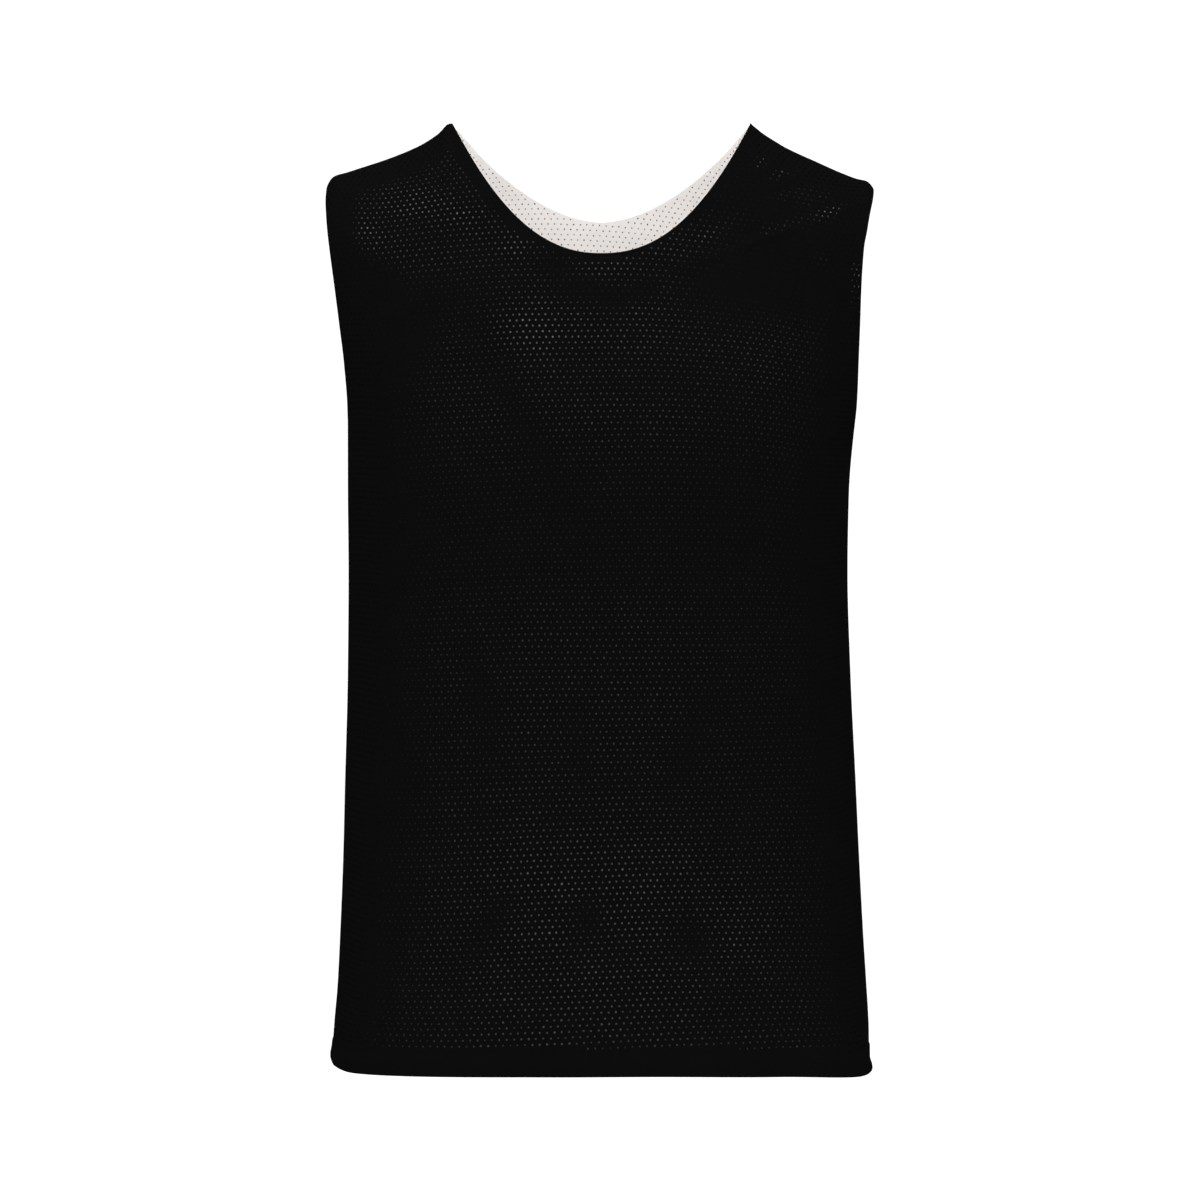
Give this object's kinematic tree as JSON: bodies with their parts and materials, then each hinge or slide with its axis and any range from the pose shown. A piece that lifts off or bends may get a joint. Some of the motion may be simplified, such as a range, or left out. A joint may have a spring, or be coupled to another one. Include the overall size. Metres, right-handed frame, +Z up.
{
  "type": "reversible lacrosse jersey",
  "caption": "Sleeveless reversible training jersey of pin-hole mesh, black outside and white inside, with a round neck and wide armholes, hollow as worn.",
  "frame": {"origin": "midway between the two neck points, on the line of the shoulder seams, where the wearer's shoulders carry the garment", "axes": "+Z up, the front faces -Y, +X to the right as seen from the front"},
  "size_m": [0.422, 0.2685, 0.7325],
  "materials": {
    "black_mesh": "matte black polyester pin-hole mesh",
    "white_mesh": "matte white polyester pin-hole mesh"
  },
  "bodies": {
    "root": {"black_front": "black_mesh", "black_back": "black_mesh", "white_front": "white_mesh", "white_back": "white_mesh"}
  },
  "joints": []
}
